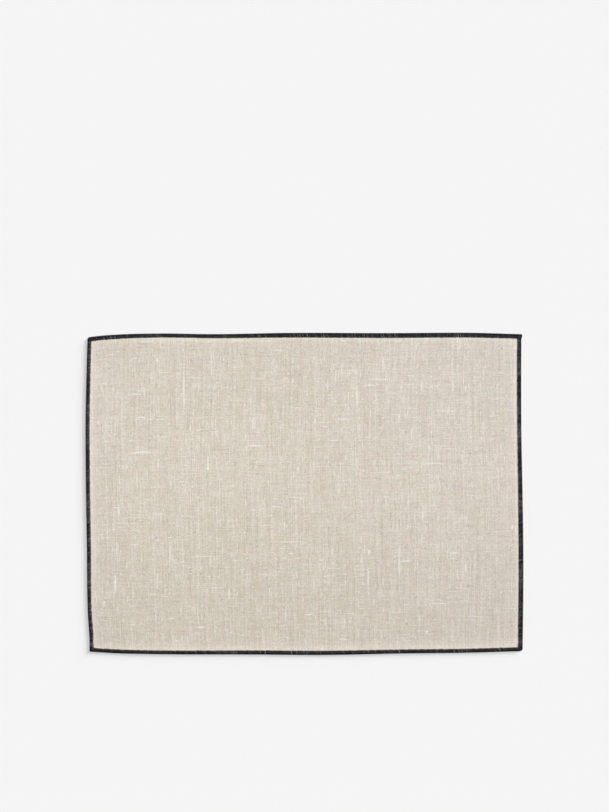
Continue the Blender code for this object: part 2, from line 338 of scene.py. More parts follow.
def mottle(across, along, seed, detail=0.0):
    """Smooth chance values about 0 over a plane. `across` and `along` each give a socket and the
    share of one cycle that a step of 1 in it makes."""
    steps = [worked("MULTIPLY", *pair) for pair in (across, along)]
    place = shader_step("CombineXYZ", {0: steps[0], 1: steps[1], 2: seed})
    noise = {"Vector": place, "Scale": 1.0, "Detail": detail}
    return worked("SUBTRACT", shader_step("TexNoise", noise, noise_dimensions="3D"), 0.5)


def blended(share, first, second):
    """The mix of two colours, numbers or sockets, by this share of the second."""
    return shader_step("Mix", {0: share, 6: first, 7: second}, output=2, data_type="RGBA")


def over_limit(value, start, end):
    """0 up to start, 1 from end on, smooth between."""
    limits = {"Value": value, "From Min": start, "From Max": end, "To Min": 0.0, "To Max": 1.0}
    return shader_step("MapRange", limits, interpolation_type="SMOOTHSTEP")


def summed(*parts):
    """The sum of pairs of a value and how many times it is taken."""
    total = worked("MULTIPLY", *parts[0])
    for value, times in parts[1:]:
        total = worked("MULTIPLY_ADD", value, times, total)
    return total


def picked(share, first, second):
    """first where share is 0, second where it is 1, mixed between."""
    return worked("MULTIPLY_ADD", worked("SUBTRACT", second, first), share, first)


def read_map(tree, map_name):
    """The two numbers of a UV map."""
    place = shader_step("UVMap", {}, tree, uv_map=map_name)
    return [shader_step("SeparateXYZ", {0: place}, output=axis) for axis in (0, 1)]


def new_finish(name, map_name):
    """A new material, and the two numbers of the UV map that its pattern follows."""
    material = bpy.data.materials.new(name)
    material.use_nodes = True
    return material, *read_map(material.node_tree, map_name)


BUMP_STRENGTH = 0.75
SHEEN_ROUGHNESS = 0.55


def put_on(material, colour, roughness, relief, depth, gloss, sheen):
    """Gives the material's surface its colour, roughness and relief, with bumps this deep."""
    shader = material.node_tree.nodes["Principled BSDF"]
    bumps = shader_step("Bump", {"Strength": BUMP_STRENGTH, "Distance": depth, "Height": relief})
    for socket, link in (("Base Color", colour), ("Roughness", roughness), ("Normal", bumps)):
        material.node_tree.links.new(link, shader.inputs[socket])
    shader.inputs["Specular IOR Level"].default_value = gloss
    shader.inputs["Sheen Weight"].default_value = sheen
    shader.inputs["Sheen Roughness"].default_value = SHEEN_ROUGHNESS


FLAX_STRAW = (0.785, 0.655, 0.497, 1.0)
FLAX_ASH = (0.669, 0.655, 0.587, 1.0)
FLAX_ROSE = (0.742, 0.615, 0.555, 1.0)
FLAX_OLIVE = (0.712, 0.695, 0.529, 1.0)
FLAX_DARK = (0.520, 0.447, 0.345, 1.0)
FLAX_CREAM = (0.955, 0.920, 0.852, 1.0)
FLAX_FLECK = (0.300, 0.262, 0.190, 1.0)
# The next colour is painted light, laid in bands beside the stitching.
PAINTED_LIGHT_FLAX = (1.240, 1.125, 1.040, 1.0)  # mixed in by small shares only, as is the next
FLAX_COOL = (0.560, 0.655, 1.300, 1.0)
SLUB_CREAM = (0.908, 0.873, 0.806, 1.0)
BLACK = (0.0, 0.0, 0.0, 1.0)

YARN_WANDER = 0.9  # in pitches, for each step of the noise
FULL_TONE = 0.55  # tone at which a yarn is wholly cream, or below 0 wholly dark
CRIMP = 0.55  # how far a yarn rises and dips, for each half of its thickness
# Bands of painted light beside the sides: how far in each ends and where it is whole, in mm,
# and how bright it is.
BAND_ALL_ROUND = (10.5, 5.0, 0.160)
SIDE_BANDS = {
    "bottom": (18.0, 5.0, 0.125),
    "left": (17.0, 6.5, 0.075),
    "right": (42.0, 8.0, 0.050),
    "top": (32.0, 10.0, 0.020),
}
MARGIN = (55.0, 18.0)  # how far in the left and the low margin end and where they are whole, in mm
# NEAR_HALF sets painted shade: the cloth is painted darker towards its near side.
NEAR_HALF = (222.0, 0.0)  # the same of the nearer half

linen, straight_u, straight_v = new_finish("slubbed_linen", "yarns")
mm_from = {
    "left": worked("MULTIPLY", straight_u, WARP_PITCH / MM),
    "bottom": worked("MULTIPLY", straight_v, WEFT_PITCH / MM),
}
mm_from["right"] = worked("SUBTRACT", WARP_COUNT * WARP_PITCH / MM, mm_from["left"])
mm_from["top"] = worked("SUBTRACT", WEFT_COUNT * WEFT_PITCH / MM, mm_from["bottom"])

# The yarns wander by a third of their pitch, more slowly along their length than across it.
wander_u = mottle((straight_u, 0.31), (straight_v, 0.09), seed=1.5)
wander_v = mottle((straight_u, 0.07), (straight_v, 0.29), seed=2.5)
u = worked("MULTIPLY_ADD", wander_u, YARN_WANDER, straight_u)
v = worked("MULTIPLY_ADD", wander_v, YARN_WANDER, straight_v)
warp_no = worked("FLOOR", u)
weft_no = worked("FLOOR", v)
warp_on_top = worked("FLOORED_MODULO", worked("ADD", warp_no, weft_no), 2.0)

# Every yarn has a tone of its own, which drifts over many centimetres, over one or two, and from one
# cross yarn to the next. To it come wide clouds and the yarn's own fibres.
warp_tone = summed(
    (mottle((warp_no, 7.37), (v, 0.011), seed=3.5), 0.90),
    (mottle((warp_no, 5.13), (v, 0.055), seed=3.9), 0.66),
    (mottle((warp_no, 3.19), (v, 0.45), seed=4.5, detail=1.0), 1.30),
)
weft_tone = summed(
    (mottle((u, 0.035), (weft_no, 5.71), seed=5.5), 0.75),
    (mottle((u, 0.45), (weft_no, 2.93), seed=6.5, detail=1.0), 1.35),
)
cloud = mottle((u, 0.045), (v, 0.045), seed=7.5, detail=2.0)
weft_fibres = mottle((u, 1.3), (v, 8.5), seed=11.5, detail=2.0)
warp_fibres = mottle((u, 8.5), (v, 1.3), seed=11.9, detail=2.0)
fibres = picked(warp_on_top, weft_fibres, warp_fibres)
tone = picked(warp_on_top, weft_tone, warp_tone)
tone = summed((tone, 1.0), (cloud, 0.24), (fibres, 0.45))

# The hue wavers between straw and ash and between rose and olive, in patches of a few yarns.
straw_or_ash = mottle((u, 0.15), (v, 0.12), seed=12.5, detail=2.0)
straw_or_ash = worked("MULTIPLY_ADD", straw_or_ash, 1.5, 0.5)
rose_or_olive = mottle((u, 0.17), (v, 0.11), seed=13.5, detail=2.0)
rose_or_olive = worked("MULTIPLY_ADD", rose_or_olive, 2.4, 0.5)
first_flax = blended(straw_or_ash, FLAX_STRAW, FLAX_ASH)
second_flax = blended(rose_or_olive, FLAX_ROSE, FLAX_OLIVE)
flax = blended(0.5, first_flax, second_flax)

# Thin slubs lie in single yarns: where a slow noise along a yarn peaks. Flecks of woody stem are
# darker and short.
warp_slub = mottle((warp_no, 1.73), (v, 0.075), seed=8.5)
weft_slub = mottle((u, 0.095), (weft_no, 1.91), seed=9.5)
warp_slub = over_limit(warp_slub, start=0.22, end=0.37)
weft_slub = over_limit(weft_slub, start=0.25, end=0.38)
slub = worked("MAXIMUM", warp_slub, weft_slub)
fleck = mottle((u, 0.62), (v, 0.33), seed=10.5)
fleck = over_limit(fleck, start=0.28, end=0.36)

# The whole cloth is a little yellower at the lower left and cooler towards the upper right, and
# cooler again in a margin at the left side.
left_margin = over_limit(mm_from["left"], *MARGIN)
low_margin = over_limit(mm_from["bottom"], *MARGIN)
share_across = worked("DIVIDE", straight_u, WARP_COUNT)
share_across = over_limit(share_across, start=0.35, end=1.0)
share_up = worked("DIVIDE", straight_v, WEFT_COUNT)
cooler = summed((share_across, 0.026), (share_up, 0.014), (left_margin, 0.010))

# Relief of a plain weave: each yarn is a rounded bar that rises over one cross yarn and dips under
# the next, and the higher of the two yarns is what shows. Between them the colour is painted
# darker: painted shade in the weave's gaps.
round_warp = worked("ABSOLUTE", worked("SINE", worked("MULTIPLY", u, np.pi)))
round_weft = worked("ABSOLUTE", worked("SINE", worked("MULTIPLY", v, np.pi)))
side_up = worked("MULTIPLY_ADD", warp_on_top, 2.0, -1.0)
over_weft = worked("MULTIPLY", side_up, round_weft)
over_warp = worked("MULTIPLY", side_up, round_warp)
warp_height = worked("MULTIPLY_ADD", over_weft, CRIMP, round_warp)
weft_height = worked("MULTIPLY_ADD", over_warp, -CRIMP, round_weft)
woven = worked("MAXIMUM", warp_height, weft_height)
relief = summed((woven, 1.0), (slub, 0.7), (fibres, 0.6))
painted_gap_shade = over_limit(woven, start=0.75, end=0.25)

# Painted light: beside the stitching the cloth is painted a little brighter, along every side and
# by what each one adds, most at the lower and the left side and furthest inwards at the right one.
nearest_short = worked("MINIMUM", mm_from["left"], mm_from["right"])
nearest_long = worked("MINIMUM", mm_from["bottom"], mm_from["top"])
nearest_side = worked("MINIMUM", nearest_short, nearest_long)
bands = [(nearest_side, BAND_ALL_ROUND)]
bands += [(mm_from[side], band) for side, band in SIDE_BANDS.items()]
painted_edge_glow = summed(*((over_limit(gap, ends, whole), share) for gap, (ends, whole, share) in bands))

# A thick slub is plain cream in its middle and fades towards its ends, and a woody one is dark.
# Where the cross yarn lies over it, less of it shows.
along_slub, plain_slub = read_map(linen.node_tree, "slubs")
slub_middle = worked("PINGPONG", along_slub, 0.5)
slub_middle = over_limit(slub_middle, start=0.02, end=0.16)
slub_covered = over_limit(woven, start=0.85, end=0.35)
slub_shows = worked("MULTIPLY", slub_middle, plain_slub)
slub_bare = worked("MULTIPLY_ADD", slub_covered, -0.45, 1.0)
slub_shows = worked("MULTIPLY", slub_shows, slub_bare)

# Painted shade: the near half is painted a little darker than the far one. The left and low margins
# are a little greyer than the rest.
painted_near_shade = over_limit(mm_from["bottom"], *NEAR_HALF)
greyer_with_painted_shade = summed((painted_near_shade, 0.085), (left_margin, 0.030), (low_margin, 0.016))

# Each of these lies over the ones before it: where it shows, how much, and its colour.
colour = flax
for where, how_much, layer in (
    (over_limit(tone, start=0.0, end=FULL_TONE), 1.0, FLAX_CREAM),
    (over_limit(tone, start=0.0, end=-FULL_TONE), 1.0, FLAX_DARK),
    (slub, 0.75, FLAX_CREAM),
    (fleck, 0.60, FLAX_FLECK),
    (cooler, 1.0, FLAX_COOL),
    (painted_gap_shade, 0.35, FLAX_DARK),
    (painted_edge_glow, 1.0, PAINTED_LIGHT_FLAX),
    (slub_shows, 1.0, SLUB_CREAM),
    (slub_shows, -1.0, FLAX_FLECK),
    (greyer_with_painted_shade, 1.0, BLACK),
):
    colour = blended(worked("MULTIPLY", where, how_much), colour, layer)

roughness = worked("MULTIPLY_ADD", fibres, 0.25, 0.86)
put_on(linen, colour, roughness, relief, depth=0.11 * MM, gloss=0.25, sheen=0.06)

# The cloth's top fills the lower part of the bake's square, in its true proportions. These are
# shares of the rest, upwards: where the cut edge's strip is, and where the underside's part starts.
RIM_STRIP = (0.02, 0.06)
UNDERSIDE_FROM = 0.1


def as_rows(*parts):
    """Rows of the values of these arrays side by side. A shorter array or a number is repeated."""
    return np.stack(np.broadcast_arrays(*parts), axis=-1)


def yarn_counts(x, y):
    """How many warp yarns lie left of a point and how many weft yarns below it."""
    left, right = OUTER["left"](y) + CUT_INSET, OUTER["right"](y) - CUT_INSET
    bottom, top = OUTER["bottom"](x) + CUT_INSET, OUTER["top"](x) - CUT_INSET
    across = (x - left) / (right - left) * WARP_COUNT
    up = (y - bottom) / (top - bottom) * WEFT_COUNT
    return as_rows(across, up)


def linen_cloth():
    """The cloth as a grid of points between its cut edges, at its top and at its underside, joined
    round the rim. One map counts the yarns, and one lays the top over most of the bake's square and
    the underside, narrowed, over the rest."""
    size_x, size_y = 2 * OUTER["right"](0.0), 2 * OUTER["top"](0.0)
    share_x, share_y = np.meshgrid(cloth_shares(size_x), cloth_shares(size_y))
    x, y = between_sides(share_x, share_y, CUT_INSET)
    x, y = inside_round_corners(x, y, CUT_INSET)
    under = underside_of_cloth(x, y)
    heights = (under, under + CLOTH_THICKNESS)
    points = np.concatenate([as_rows(x, y, z).reshape(-1, 3) for z in heights])
    above = x.size
    number = np.arange(above).reshape(x.shape)
    cells = as_rows(number[:-1, :-1], number[:-1, 1:], number[1:, 1:], number[1:, :-1])
    cells = cells.reshape(-1, 4)
    rim = np.concatenate([number[0, :-1], number[:-1, -1], number[-1, :0:-1], number[:0:-1, 0]])
    onward = np.roll(rim, -1)
    walls = as_rows(rim, onward, onward + above, rim + above)
    faces = [cells[:, ::-1], cells + above, walls]

    yarn_place = yarn_counts(x, y).reshape(-1, 2)
    top_share = size_y / size_x
    left_over = 1 - top_share
    on_top = as_rows(share_x, share_y * top_share).reshape(-1, 2)
    up_rest = UNDERSIDE_FROM + (1 - UNDERSIDE_FROM) * share_y
    below = as_rows(share_x, top_share + left_over * up_rest).reshape(-1, 2)
    along_rim = (np.arange(len(rim))[:, None] + [0, 1, 1, 0]) / len(rim)
    up_strip = top_share + left_over * np.array(RIM_STRIP)[[0, 0, 1, 1]]
    maps = {
        "yarns": [yarn_place[cells[:, ::-1]], yarn_place[cells], yarn_place[walls % above]],
        "OFBake": [below[cells[:, ::-1]], on_top[cells], as_rows(along_rim, up_strip)],
        "slubs": [np.zeros((*rows_of_faces.shape, 2)) for rows_of_faces in faces],
    }
    return new_piece("linen_cloth", points, faces, maps, linen)


cloth = linen_cloth()
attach(cloth, "root")
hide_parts("linen_panel")


# ==== Slubs ======================================================================================
# Thick soft places in single linen yarns, cream because the flax there is barely twisted, with a few
# flecks of woody stem and one browner yarn. They are woven in, along both yarn directions, and lie a
# little proud of the cloth.

# The plain ones, where they show on this cloth: the place of the middle and the length, in mm, and
# how plain it is. Past 1 it is ever more combed out, broad and thin, and below WOODY it is dark.
PLAIN_SLUBS = {
    "upright": (
        (-131, 112, 48, 3), (-101, 139, 31, 2), (-174, 110, 18, 2), (-115, 116, 13, 2),
        (-156, 163, 10, 2), (-56, 75, 15, 3), (-64, 62, 9, 2), (-105, 34, 19, 3),
        (-105, 28, 5, 5), (-182, 15, 24, 2), (-20, 52, 21, 1), (-7, 27, 5, 3),
        (-160, 145, 4, 5), (-76, 138, 4, 2), (-13, 123, 5, 2), (-159, 31, 4, 3),
        (-86, 91, 7, 1), (-13, 145, 8, 2), (-124, 71, 8, 2), (-26, 72, 18, 1),
        (57, 104, 24, 3), (61, 130, 10, 2), (89, 115, 9, 2), (127, 118, 13, 3), (86, 139, 17, 1),
        (25, 117, 13, 2), (161, 117, 12, 2), (116, 68, 8, 2), (141, 78, 8, 1), (205, 87, 8, 2),
        (194, 72, 28, 1), (57, 36, 7, 2), (37, 12, 17, 1), (37, 4, 5, 3), (121, 160, 10, 2),
        (-146, -66, 25, 3), (-202, -20, 11, 3), (-156, -28, 9, 2), (-204, -60, 16, 3),
        (-206, -98, 21, 4), (-160, -95, 16, 3), (-177, -68, 13, 1), (-193, -78, 8, 3),
        (-102, -72, 14, 2), (-115, -98, 8, 1), (-82, -108, 13, 3), (-57, -111, 6, 2),
        (-13, -102, 19, 2), (-21, -133, 19, 2), (-203, -125, 6, 2), (-134, -128, 7, 2),
        (-22, -35, 13, 2), (-97, -147, 21, 2), (-127, -160, 10, 2), (-218, -119, 6, 3),
        (103, -74, 42, 3), (69, -93, 26, 2), (70, -63, 6, 4), (30, -63, 7, 3),
        (128, -24, 12, 3), (127, -49, 13, 2), (175, -80, 9, 3), (166, -87, 11, 2),
        (170, -99, 6, 3), (155, -65, 12, 2), (10, -98, 14, 2), (75, -117, 5, 3),
        (133, -150, 5, 4), (43, -139, 22, 1), (226, -36, 5, 5), (-131, 150, 22, 1),
        (111, -141, 2, -3), (-68, -128, 1, -2), (-113, -87, 2, -2), (-161, -47, 1, -2),
        (214, 158, 1, -2), (110, 67, 2, -2), (139, 62, 2, -2), (-145, 92, 56, -1.1),
    ),
    "lying": (
        (-178, 45, 23, 3), (-184, 108, 13, 3), (-177, 83, 11, 3), (-54, 52, 17, 3),
        (-63, 113, 28, 1), (-50, 125, 15, 2), (-28, 156, 13, 2), (-159, 7, 19, 1),
        (-56, 58, 32, 1), (155, 90, 24, 2), (139, 33, 24, 2), (42, 81, 17, 2),
        (22, 73, 7, 2), (84, 23, 25, 1), (71, 118, 12, 3),
        (-185, -55, 10, 3), (-112, -68, 22, 2), (-142, -71, 7, 2), (-130, -78, 15, 1),
        (-188, -26, 26, 1), (-31, -14, 14, 2), (-17, -52, 35, 2), (-84, -36, 12, 1),
        (-42, -34, 9, 2), (-112, -145, 8, 4), (-164, -109, 12, 2), (-187, -142, 8, 2),
        (-78, -122, 12, 1), (-10, -4, 21, 2), (110, -73, 12, 3), (162, -64, 14, 3),
        (207, -41, 31, 1), (146, -119, 21, 2), (67, -61, 12, 1), (66, -98, 18, 1),
        (5, -131, 10, 3), (28, -89, 17, 1), (42, -158, 7, 3), (186, -133, 20, 1),
        (131, -59, 1, -2), (180, 44, 2, -2), (-180, 149, 1, -2), (118, 41, 1, -2),
    ),
}
WOODY = -1
# A slub is longer than what shows of it, by this factor and this many mm.
SHOWN_TO_WHOLE, FADED_ENDS = 1.2, 1.0
COMBED_OUT = {"upright": 0.30, "lying": 0.17}  # how much, for each class past 1
MOST_COMBED = 2.0  # classes past 1

FAINT_COUNT = {"upright": 200, "lying": 80}  # at chance places
FAINT_TRIES = 6  # places tried for each
# The chance that a place is kept: in the middle, and what the right and the far side add.
KEPT_IN_MIDDLE, KEPT_TO_RIGHT, KEPT_TO_FAR = 0.55, -0.25, -0.20
FAINT_PLAINNESS = (-0.6, 0.9)
# The length of a faint one in mm: this at least, and more by a gamma distribution.
FAINT_LEAST, FAINT_SHAPE = 2.5, 3.0
FAINT_SCALE = {"upright": 3.4, "lying": 2.4}

SLUB_SEEDS = {"upright": 21, "lying": 22}
SLUB_ASIDE = {"upright": (1.0, 0.0, 0.0), "lying": (0.0, -1.0, 0.0)}
SLUB_KEEP_OFF = 16.0 * MM  # from the outer line, for the faint ones
SLUB_BEND = 0.14 * MM
BEND_PHASES = 6.0  # radians, nearly a full turn, from which each bend's start is drawn
SLUB_END_HALF_WIDTH = 0.34 * MM
# By how much its middle is wider: at least, for each class, and for how far it is combed out.
WIDER_AT_LEAST, WIDER_BY_CLASS, WIDER_BY_COMBING = 0.09 * MM, 0.15 * MM, 1.3 * MM
WIDTH_CHANCE = 0.08
SWELLING_POWER = 0.8  # of the sine that it swells by
KNOT_LENGTHS = (0.21, 0.37)  # in shares of its length
KNOT_SIZE = 0.3
SLUB_FLATNESS = 0.45  # half height for each half width
COMBED_FLATTER = 8.0
SUNK_AT_ENDS, RAISED_IN_MIDDLE = 1.05, 0.35  # in half heights
# How plainly a pale one and a dark one show: at least, for each class, and for the combing.
PALE_AT_LEAST, PALE_BY_CLASS, PALE_BY_COMBING = 0.30, 0.24, -0.58
DARK_AT_LEAST, DARK_BY_CLASS = 0.15, 0.45
SLUB_STEPS, SLUB_SIDES = 11, 8
SLUB_CELLS = 20  # rows and columns of the bake's square, one slub to a cell
CELL_MARGIN = 0.03  # of a cell


def unit(vectors):
    """These vectors with a length of 1 each."""
    return vectors / np.linalg.norm(vectors, axis=-1, keepdims=True)


def strands(path, aside, half_width, half_height, sides):
    """Closed flattened tubes along paths [strand, step, xyz]. At each step stands an ellipse,
    half_width wide along `aside` and half_height high across it, and both ends close in a point.
    Returns the points, the four-cornered and the three-cornered faces, and for each of the two
    what share of the way along and round one strand the corners of its faces are."""
    count, steps, _ = path.shape
    along = unit(np.gradient(path, axis=1))
    up = unit(np.cross(along, aside))
    aside = np.cross(up, along)
    turn = 2 * np.pi * np.arange(sides) / sides
    wide = (half_width[..., None] * np.cos(turn))[..., None] * aside[:, :, None]
    high = (half_height[..., None] * np.sin(turn))[..., None] * up[:, :, None]
    rings = path[:, :, None] + wide + high
    tips = path[:, [0, -1]] + along[:, [0, -1]] * half_height[:, [0, -1], None] * [[-1], [1]]
    points = np.concatenate([rings.reshape(count, -1, 3), tips], axis=1)

    number = np.arange(steps * sides).reshape(steps, sides)
    beside = np.roll(number, -1, axis=1)
    first = np.arange(count)[:, None, None] * (steps * sides + 2)
    quads = as_rows(number[:-1], beside[:-1], beside[1:], number[1:]).reshape(-1, 4)
    start_fan = as_rows(steps * sides, beside[0], number[0])
    end_fan = as_rows(steps * sides + 1, number[-1], beside[-1])
    fans = np.concatenate([start_fan, end_fan])
    faces = [(first + quads).reshape(-1, 4), (first + fans).reshape(-1, 3)]

    u = np.arange(steps)[:, None] / (steps - 1)
    v = np.arange(sides) / sides
    v_next, v_between = v + 1 / sides, v + 0.5 / sides
    corners = ((u[:-1], v), (u[:-1], v_next), (u[1:], v_next), (u[1:], v))
    quad_share = np.stack([as_rows(*pair) for pair in corners], axis=2).reshape(-1, 4, 2)
    start_share = [as_rows(0.0, v_there) for v_there in (v_between, v_next, v)]
    end_share = [as_rows(1.0, v_there) for v_there in (v_between, v, v_next)]
    fan_share = np.concatenate([np.stack(start_share, axis=1), np.stack(end_share, axis=1)])
    return points.reshape(-1, 3), faces, [quad_share, fan_share]


def laid_out(shares, corner, size):
    """A map in which each strand's shares fill a rectangle of this size from its own corner."""
    filled = [corner[:, None, None] + np.array(size) * share for share in shares]
    return [rows.reshape(-1, *rows.shape[2:]) for rows in filled]


def slub_paths(way):
    """The slubs that run one way: their paths, the level direction across them, their half widths
    and half heights, and how plainly they show, below 0 for dark. Each follows a yarn with a slight
    sine bend and swells as a power of a sine, with knots. After the plain ones come the faint ones,
    denser towards the lower left."""
    chance = np.random.default_rng(SLUB_SEEDS[way])
    tries = chance.uniform(-1, 1, (FAINT_COUNT[way] * FAINT_TRIES, 2))
    weight = KEPT_IN_MIDDLE + KEPT_TO_RIGHT * tries[:, 0] + KEPT_TO_FAR * tries[:, 1]
    tries = tries[chance.uniform(0, 1, len(tries)) < weight][: FAINT_COUNT[way]]
    reach = np.array([OUTER["right"](0.0), OUTER["top"](0.0)]) - SLUB_KEEP_OFF
    plain = np.array(PLAIN_SLUBS[way], float)
    middle = np.concatenate([plain[:, :2] * MM, tries * reach])[:, None]
    plain_length = plain[:, 2] * SHOWN_TO_WHOLE + FADED_ENDS
    faint_length = chance.gamma(FAINT_SHAPE, FAINT_SCALE[way], len(tries)) + FAINT_LEAST
    length = np.concatenate([plain_length, faint_length]) * MM
    plainness = np.concatenate([plain[:, 3], chance.uniform(*FAINT_PLAINNESS, len(tries))])

    share = np.linspace(0, 1, SLUB_STEPS)
    along = (share - 0.5) * length[:, None]
    phase = chance.uniform(0, BEND_PHASES, len(length))[:, None]
    bend = SLUB_BEND * np.sin(2 * np.pi * share + phase)
    across, up = (bend, along) if way == "upright" else (along, bend)
    x, y = middle[..., 0] + across, middle[..., 1] + up

    knots = waves(share + np.arange(len(length))[:, None], KNOT_LENGTHS, SLUB_SEEDS[way])
    swelling = np.sin(np.pi * share) ** SWELLING_POWER * (1 + KNOT_SIZE * knots)
    stout = np.where(plainness < WOODY, -plainness, plainness)
    combed = COMBED_OUT[way] * np.clip(plainness - 1, 0, MOST_COMBED)
    wider = WIDER_AT_LEAST + WIDER_BY_CLASS * stout + WIDER_BY_COMBING * combed
    wider = wider * chance.normal(1, WIDTH_CHANCE, len(length))
    half_width = SLUB_END_HALF_WIDTH + wider[:, None] * swelling
    half_height = SLUB_FLATNESS * half_width / (1 + COMBED_FLATTER * combed[:, None])
    sunk = half_height * (SUNK_AT_ENDS - RAISED_IN_MIDDLE * swelling)
    z = underside_of_cloth(x, y) + CLOTH_THICKNESS - sunk
    pale = np.clip(PALE_AT_LEAST + PALE_BY_CLASS * plainness + PALE_BY_COMBING * combed, 0, 1)
    dark = DARK_AT_LEAST + DARK_BY_CLASS * plainness
    path = as_rows(x, y, z)
    aside = np.broadcast_to(SLUB_ASIDE[way], path.shape)
    return path, aside, half_width, half_height, np.where(plainness < WOODY, dark, pale)


slub_path, slub_aside, slub_half_width, slub_half_height, how_plain = (
    np.concatenate(pair) for pair in zip(slub_paths("upright"), slub_paths("lying"))
)
slub_points, slub_faces, slub_shares = strands(
    slub_path, slub_aside, slub_half_width, slub_half_height, SLUB_SIDES
)
slub_no = np.arange(len(slub_path))
slub_cell = as_rows(slub_no % SLUB_CELLS, slub_no // SLUB_CELLS)
cell_corner = (slub_cell + CELL_MARGIN) / SLUB_CELLS
cell_size = (1 - 2 * CELL_MARGIN) / SLUB_CELLS
slub_yarns = yarn_counts(slub_points[:, 0], slub_points[:, 1])
slub_maps = {
    "yarns": [slub_yarns[rows_of_faces] for rows_of_faces in slub_faces],
    "OFBake": laid_out(slub_shares, cell_corner, cell_size),
    "slubs": laid_out(slub_shares, as_rows(0.0, how_plain), (1.0, 0.0)),
}
slub_linen = linen.copy()  # the same finish, as a material of the slubs' own
slub_linen.name = "slub_linen"
slubs = new_piece("linen_slubs", slub_points, slub_faces, slub_maps, slub_linen)
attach(slubs, "root")


# ==== The overlocked edging ======================================================================
# Charcoal spun thread, sewn over the cut edge by an overlock machine. Upper looper thread lies over
# the edge and lower looper thread under it, both meet in a purl at the rim, and a needle thread
# holds them down along the inner edge. The long sides were sewn over the full width.

# Sewn round against the clock, seen from above: the way along +X or +Y that each side went.
SEWN_TOWARDS = {"top": -1, "bottom": 1, "left": -1, "right": 1}
RUN_SEEDS = {"top": 41, "bottom": 42, "left": 43, "right": 44}

EDGE_TOP = 2.56 * MM  # of the run, before its crown
EDGE_CROWN = 0.10 * MM
NOSE_REACH = 1.1 * MM  # how far in from the rim the run is rounded
# From the run's inner edge to the needle line.
NEEDLE_INSET = {"top": 0.14 * MM, "bottom": 0.44 * MM, "left": 0.38 * MM, "right": 0.16 * MM}
END_GAP = 0.33 * MM  # of the last leg of a long run from the run's end
SHORT_RUN_GAP = 0.31 * MM  # of a short run's last legs from the long run's inner edge
FAN_START = 0.35 * MM  # of the fan's first foot past the inner corner
FAN_TRAVEL = 3.35 * MM  # over which its feet crowd
# A long run's end stands proud by this share at its tip, and in full from this share of the way up.
PROUD_LEAST, PROUD_WHOLE = 0.35, 0.75
DENSE_STEP = 0.05 * MM  # of the outlines that the stitches are placed on
END_STEPS = 60  # of an outline at a long run's ends

LEG_PITCH = 0.65 * MM  # from one looper leg to the next, along the rim
LEG_SLANT = 1.6 * MM  # how much further on a leg ends at the rim than at the needle line
LEG_SPREAD = 0.08 * MM  # by which every other leg leans more, and the rest less
LEG_JITTER = 0.05 * MM  # of both ends of a leg, by chance
SLANT_FADE = 4.0 * MM  # at a run's ends, where the legs stand square
# The legs bunch in fours and fives, with thin gaps between, more in some stretches than in others.
BUNCH_PITCH = {"top": 2.6 * MM, "bottom": 2.6 * MM, "left": 3.5 * MM, "right": 2.9 * MM}
BUNCH_SHIFT = 0.14 * MM  # of a leg towards its bunch, times how strongly they bunch there
BUNCH_MEAN, BUNCH_SWING, BUNCH_MOST = 0.65, 0.90, 1.3
BUNCH_FADE_LENGTHS = (37.0 * MM, 83.0 * MM)
BUNCH_DRIFT_LENGTHS = (60.0 * MM,)

THREAD_HALF_WIDTH = 0.350 * MM  # of a looper leg, pressed flat
THREAD_HALF_HEIGHT = 0.16 * MM
WIDTH_SCATTER = 0.06
THIN_LEGS, THIN_WIDTH = 0.07, 0.72  # the share of legs that are thin, and how thin
FOOT_WIDTH, FOOT_END = 0.85, 0.22  # share of the width at a foot, and of the leg till it is whole
CROWDED_LEAST, CROWDED_END = 0.5, 0.55  # the same where the feet crowd most
FOOT_PAST_NEEDLE = 0.48 * MM  # by which a leg reaches past the needle line
FOOT_SCATTER, FOOT_DRIFT = 0.08 * MM, 0.20 * MM
FOOT_DRIFT_LENGTHS = (7.0 * MM, 11.0 * MM)
FOOT_DIP = 0.10 * MM  # of a leg's end into the cloth
RISE_END = 0.3  # share of a leg's flat stretch over which it rises from the cloth
LIFT_SCATTER = 0.03 * MM
NOSE_END = -0.2  # radians from the rim's middle height to where a leg ends
CLEAR_OF_GROUND = 0.02 * MM
# Steps along a leg's flat stretch and round its nose, and its sides.
LEG_STEPS = {"upper": (5, 5, 6), "lower": (4, 3, 5)}

PURL_DEPTH = 0.27 * MM  # of its middle, in from the rim
PURL_RADIUS = (0.19 * MM, 0.52 * MM)  # inwards and upwards
PURL_HALF_WIDTH = 0.15 * MM
PURL_STEPS, PURL_SIDES = 7, 5
PURL_WANDER, PURL_WANDER_LENGTHS = 0.3, (9.0 * MM, 14.0 * MM)
PURL_SWELL, PURL_SWELL_LENGTHS = 0.15, (3.1 * MM, 5.3 * MM)
PURL_LEGS = 8  # legs' pitches that one length of the thread's map covers

NEEDLE_RISE = 0.42 * MM  # of a needle stitch over the cloth, where it holds the legs down
NEEDLE_DIVE = 0.1 * MM  # of its ends into the cloth
NEEDLE_HALF_WIDTH = 0.14 * MM
NEEDLE_END_WIDTH = 0.6  # share of that at its ends
NEEDLE_GAP = 0.06  # share of its pitch left free at both ends
NEEDLE_SCATTER = 0.02 * MM
NEEDLE_STEPS, NEEDLE_SIDES = 5, 4

TONES = 16  # rows of the thread's map, one tone each, from least to most worn
ROW_MARGIN = 0.04  # of a row
# The purl's tone row is a dark, barely worn one, as part of the painted shade at the rim.
PURL_TONE, NEEDLE_TONE = 2, 6
